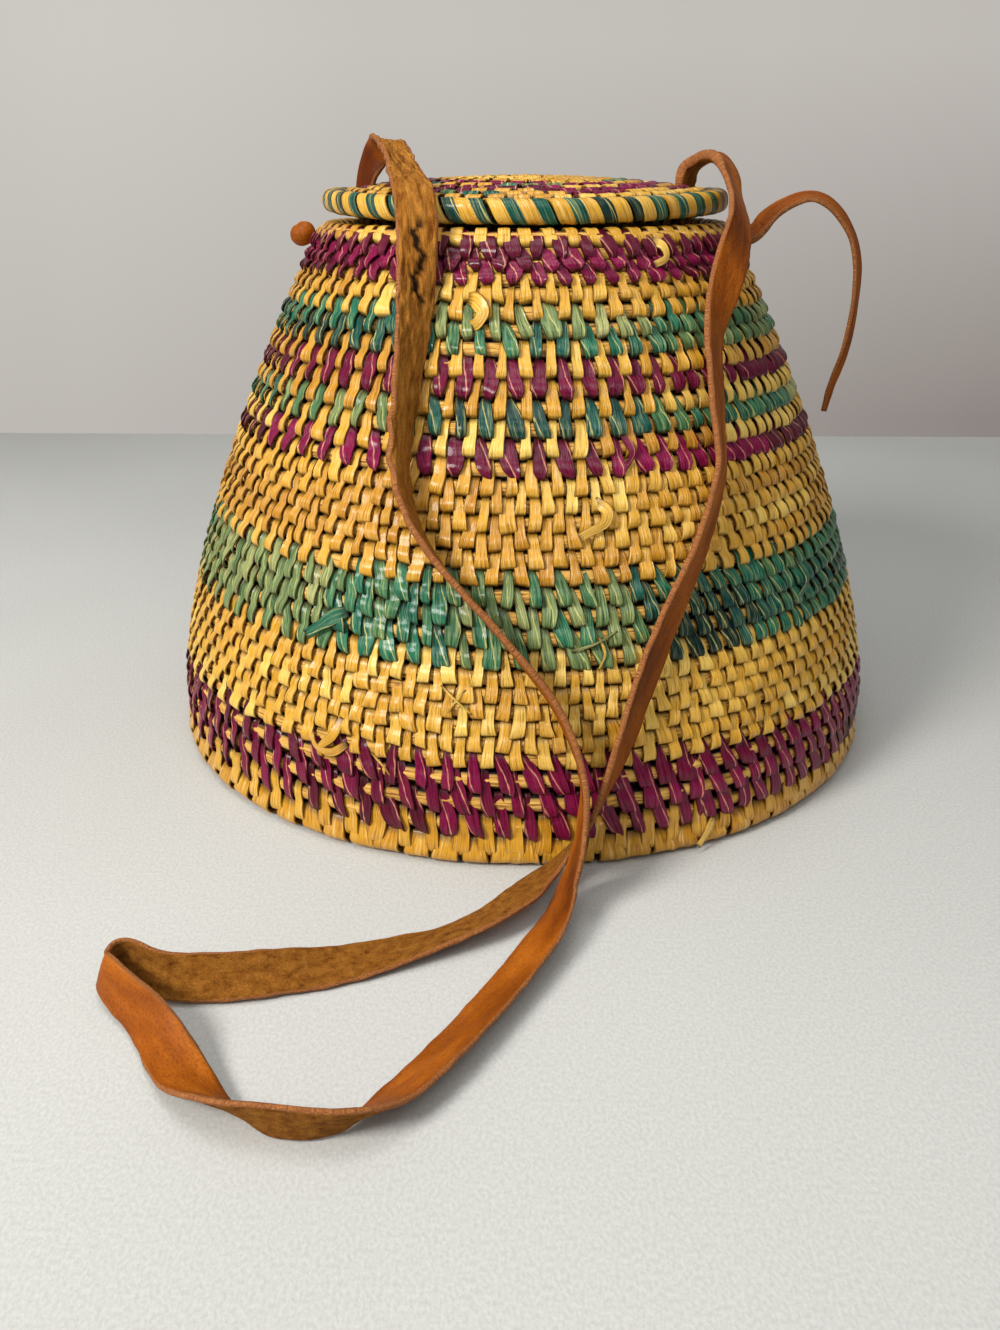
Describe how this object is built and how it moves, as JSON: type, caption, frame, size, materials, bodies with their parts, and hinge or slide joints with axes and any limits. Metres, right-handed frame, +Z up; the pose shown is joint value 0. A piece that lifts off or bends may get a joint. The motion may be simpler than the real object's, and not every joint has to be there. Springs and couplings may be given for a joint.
{
  "type": "lidded coiled basket purse",
  "caption": "Flared coiled straw basket purse with natural, magenta and green bands, a captive lid that slides up the strap, and a long flat leather shoulder strap laid on the table.",
  "frame": {"origin": "middle of the flat base, on the table", "axes": "+Z up through the lid; +X towards the loose tail of the strap; -Y towards the side that the strap hangs down"},
  "size_m": [0.2306, 0.3316, 0.1859],
  "materials": {
    "grass_bundle": "matt dry grass bundle",
    "natural_straw": "glossy golden straw strip with long fibres",
    "magenta_straw": "satin dyed straw strip",
    "green_straw": "satin dyed straw strip",
    "strap_leather": "orange-brown grain side, brown suede flesh side, pale cut edges"
  },
  "bodies": {
    "basket": {"base_coil": "grass_bundle", "wall_coil": "grass_bundle", "rim_binding": "natural_straw", "collar_magenta_straw": "magenta_straw", "shoulder_natural_straw": "natural_straw", "upper_green_straw": "green_straw", "stripe_natural_straw_1": "natural_straw", "stripe_magenta_straw_1": "magenta_straw", "stripe_natural_straw_2": "natural_straw", "stripe_green_straw": "green_straw", "stripe_natural_straw_3": "natural_straw", "stripe_magenta_straw_2": "magenta_straw", "waist_natural_straw": "natural_straw", "belt_green_straw": "green_straw", "lower_natural_straw": "natural_straw", "hem_magenta_straw": "magenta_straw", "foot_natural_straw": "natural_straw", "leather_strap": "strap_leather", "strap_tail": "strap_leather", "strap_end_left": "strap_leather", "strap_end_right": "strap_leather", "strap_knot_left": "strap_leather", "strap_knot_right": "strap_leather"},
    "lid": {"lid_coil": "grass_bundle", "lid_edge_binding": "green_straw", "lid_centre_straw": "natural_straw", "lid_magenta_straw": "magenta_straw", "lid_outer_straw": "natural_straw"}
  },
  "joints": [
    {"name": "lid_lift", "type": "slide", "parent": "basket", "child": "lid", "axis": [0, 0, 1], "range_m": [0, 0.06], "deforming": ["leather_strap", "strap_end_left", "strap_end_right"]}
  ]
}
